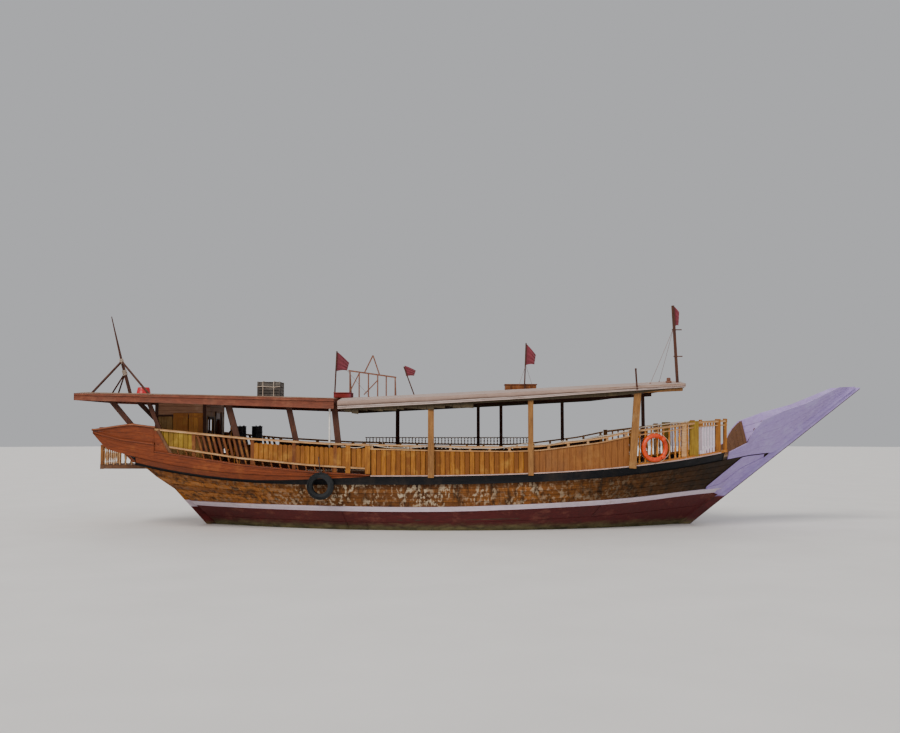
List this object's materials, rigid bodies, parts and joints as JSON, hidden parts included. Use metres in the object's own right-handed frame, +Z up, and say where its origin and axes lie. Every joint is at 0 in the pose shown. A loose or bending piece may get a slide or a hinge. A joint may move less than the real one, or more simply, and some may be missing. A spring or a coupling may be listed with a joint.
{
  "type": "wooden dhow motor passenger boat",
  "caption": "Wooden dhow with raked stem and stern, decked hull, side rails, aft roof, long canopy, small cabin, coupled helm and rudder, propeller, door and hatch.",
  "frame": {"origin": "middle of the waterline plane, where the boat floats", "axes": "+X to the bow, +Y to port, +Z up"},
  "size_m": [20.78, 5.4383, 7.1322],
  "materials": {
    "hull_planks": "weathered oiled teak planks above red-brown bottom paint",
    "bottom_paint": "red-brown bottom paint on wood, dull",
    "bow_paint": "pale lilac-white paint on planks, chalky",
    "black_paint": "black paint on timber, satin",
    "white_paint": "white paint on timber, worn",
    "stern_paint": "red-brown varnish paint on planks",
    "ochre_wood": "ochre varnished wood, weathered",
    "dark_wood": "dark brown stained wood",
    "canvas_roof": "grey-white painted canvas over boards",
    "flag_cloth": "thin maroon cloth",
    "bronze": "cast bronze",
    "engine_iron": "painted cast iron",
    "black_metal": "dark painted steel",
    "rusty_steel": "rusty brown steel bars",
    "orange_plastic": "orange moulded plastic",
    "tyre_rubber": "black rubber, dull"
  },
  "bodies": {
    "boat": {"hull": "hull_planks", "keel": "bottom_paint", "stem": "bow_paint", "sternpost": "bottom_paint", "transom_board": "stern_paint", "stern_basket": "ochre_wood", "aft_roof": "stern_paint", "main_canopy": "canvas_roof", "canopy_frame_starboard": "ochre_wood", "canopy_frame_port": "dark_wood", "cabin_front": "ochre_wood", "cabin_back": "ochre_wood", "engine_block": "engine_iron", "hatch_coaming": "dark_wood", "helm_column": "dark_wood", "deck_locker": "dark_wood", "canister_aft": "black_metal", "canister_fore": "black_metal", "stern_pole": "dark_wood", "roof_rack": "rusty_steel", "roof_box": "black_metal", "flag_pole_aft": "dark_wood", "flag_aft": "flag_cloth", "flag_pole_leaning": "dark_wood", "flag_leaning": "flag_cloth", "flag_pole_middle": "dark_wood", "flag_middle": "flag_cloth", "front_mast": "dark_wood", "flag_fore": "flag_cloth", "life_ring": "orange_plastic", "tyre_fender": "tyre_rubber", "wale_starboard": "black_paint", "wale_port": "black_paint", "white_strake_starboard": "white_paint", "white_strake_port": "white_paint", "bow_bulwark_starboard": "bow_paint", "bow_bulwark_port": "bow_paint", "bow_cheek_starboard": "bow_paint", "bow_cheek_port": "bow_paint", "stern_bulwark_starboard": "stern_paint", "stern_bulwark_port": "stern_paint", "stern_rail_starboard": "ochre_wood", "stern_rail_port": "ochre_wood", "side_panel_starboard": "ochre_wood", "side_panel_port": "ochre_wood", "forward_rail_starboard": "ochre_wood", "forward_rail_port": "ochre_wood", "aft_frame_starboard": "dark_wood", "aft_frame_port": "dark_wood", "cabin_side_starboard": "ochre_wood", "cabin_side_port": "ochre_wood"},
    "rudder": {"rudder": "bottom_paint"},
    "propeller": {"propeller": "bronze"},
    "cabin_door": {"cabin_door": "stern_paint"},
    "engine_hatch": {"engine_hatch": "dark_wood"},
    "helm_wheel": {"helm_wheel": "dark_wood"}
  },
  "joints": [
    {"name": "helm_turn", "type": "hinge", "parent": "boat", "child": "helm_wheel", "pos_m": [-5.86, -0.52, 2.18], "axis": [1, 0, 0], "range_deg": [-360, 360]},
    {"name": "rudder_turn", "type": "hinge", "parent": "boat", "child": "rudder", "pos_m": [-6.63216, 0, -0.05797], "axis": [-0.682, 0, 0.7314], "range_deg": [-35, 35]},
    {"name": "propeller_spin", "type": "hinge", "parent": "boat", "child": "propeller", "pos_m": [-4.56, 0, -0.79], "axis": [1, 0, 0], "continuous": true},
    {"name": "door_swing", "type": "hinge", "parent": "boat", "child": "cabin_door", "pos_m": [-6.394, 0.102, 2.2], "axis": [0, 0, -1], "range_deg": [0, 100]},
    {"name": "hatch_lift", "type": "hinge", "parent": "boat", "child": "engine_hatch", "pos_m": [-3.968, 0, 1.375], "axis": [0, -1, 0], "range_deg": [0, 95]}
  ],
  "couplings": [
    {"joint": "rudder_turn", "follows": "helm_turn", "ratio": 0.097222}
  ]
}
